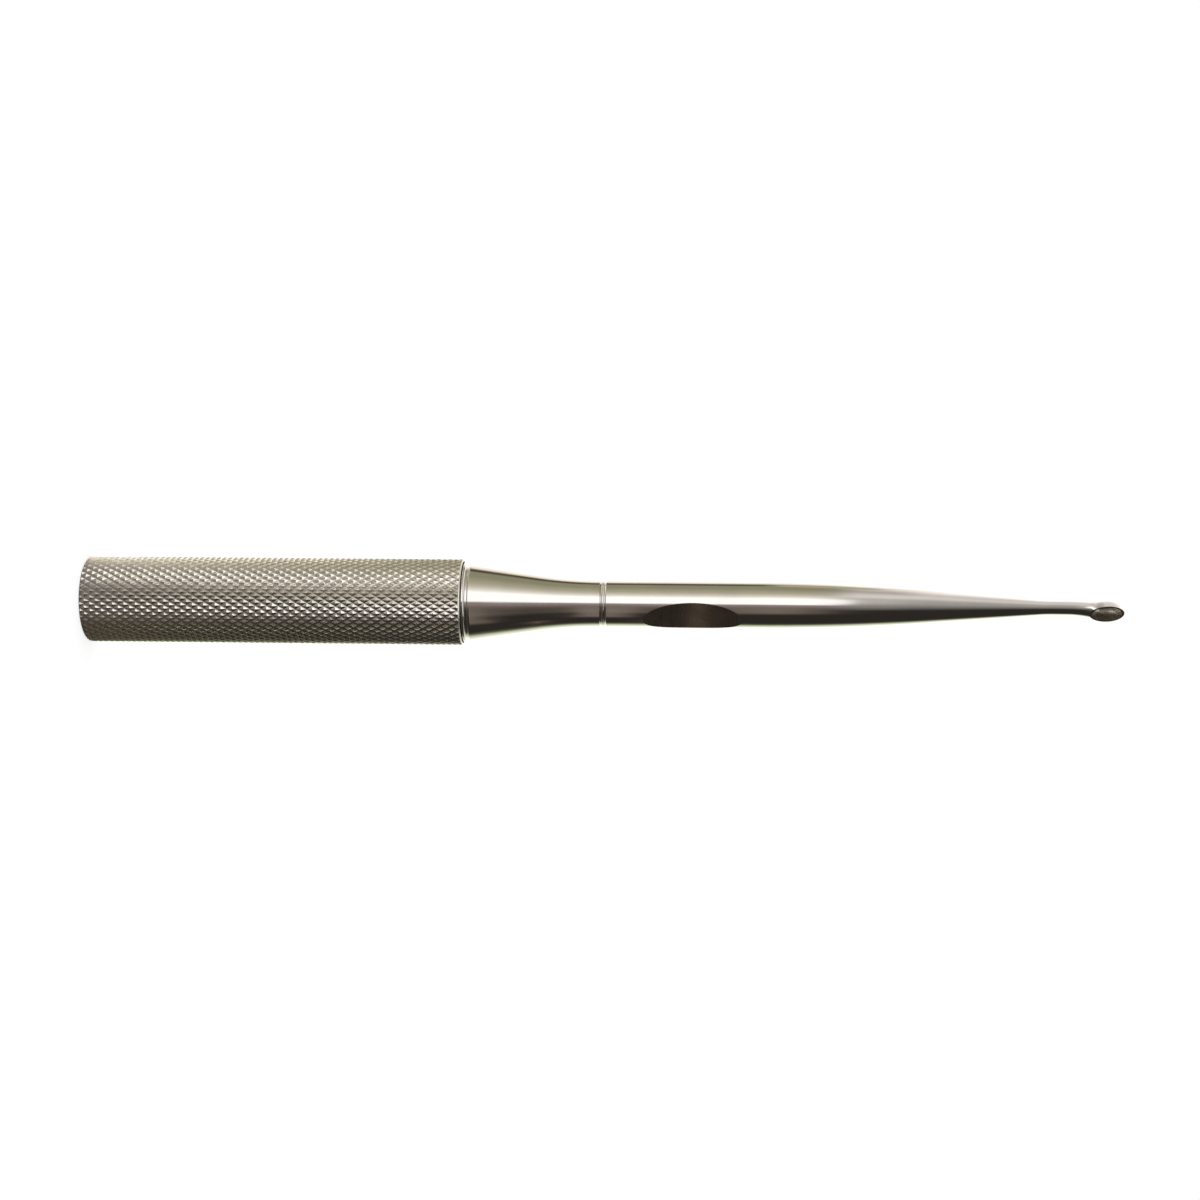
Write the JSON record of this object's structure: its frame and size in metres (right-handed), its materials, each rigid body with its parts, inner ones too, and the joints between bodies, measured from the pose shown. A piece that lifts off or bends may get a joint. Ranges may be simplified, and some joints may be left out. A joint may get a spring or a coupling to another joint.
{
  "type": "spinal fusion curette",
  "caption": "Straight surgical curette with a round knurled handle, a turned nose, a tapering round shaft with a ground thumb rest, and a small oval cup at the tip.",
  "frame": {"origin": "centre of the flat butt of the handle, on the surface that the instrument stands on", "axes": "+Z along the shaft from the butt to the cup; the thumb rest and the mouth of the cup face -Y; X runs across the cup"},
  "size_m": [0.0234, 0.0234, 0.28],
  "materials": {
    "knurled_steel": "satin stainless steel with a coarse diamond knurl",
    "turned_steel": "fine turned stainless steel",
    "polished_steel": "mirror polished stainless steel, with the thumb rest ground satin"
  },
  "bodies": {
    "root": {"handle_tube": "knurled_steel", "end_cap": "turned_steel", "handle_nose": "polished_steel", "curette_shaft": "polished_steel", "curette_cup": "polished_steel"}
  },
  "joints": []
}
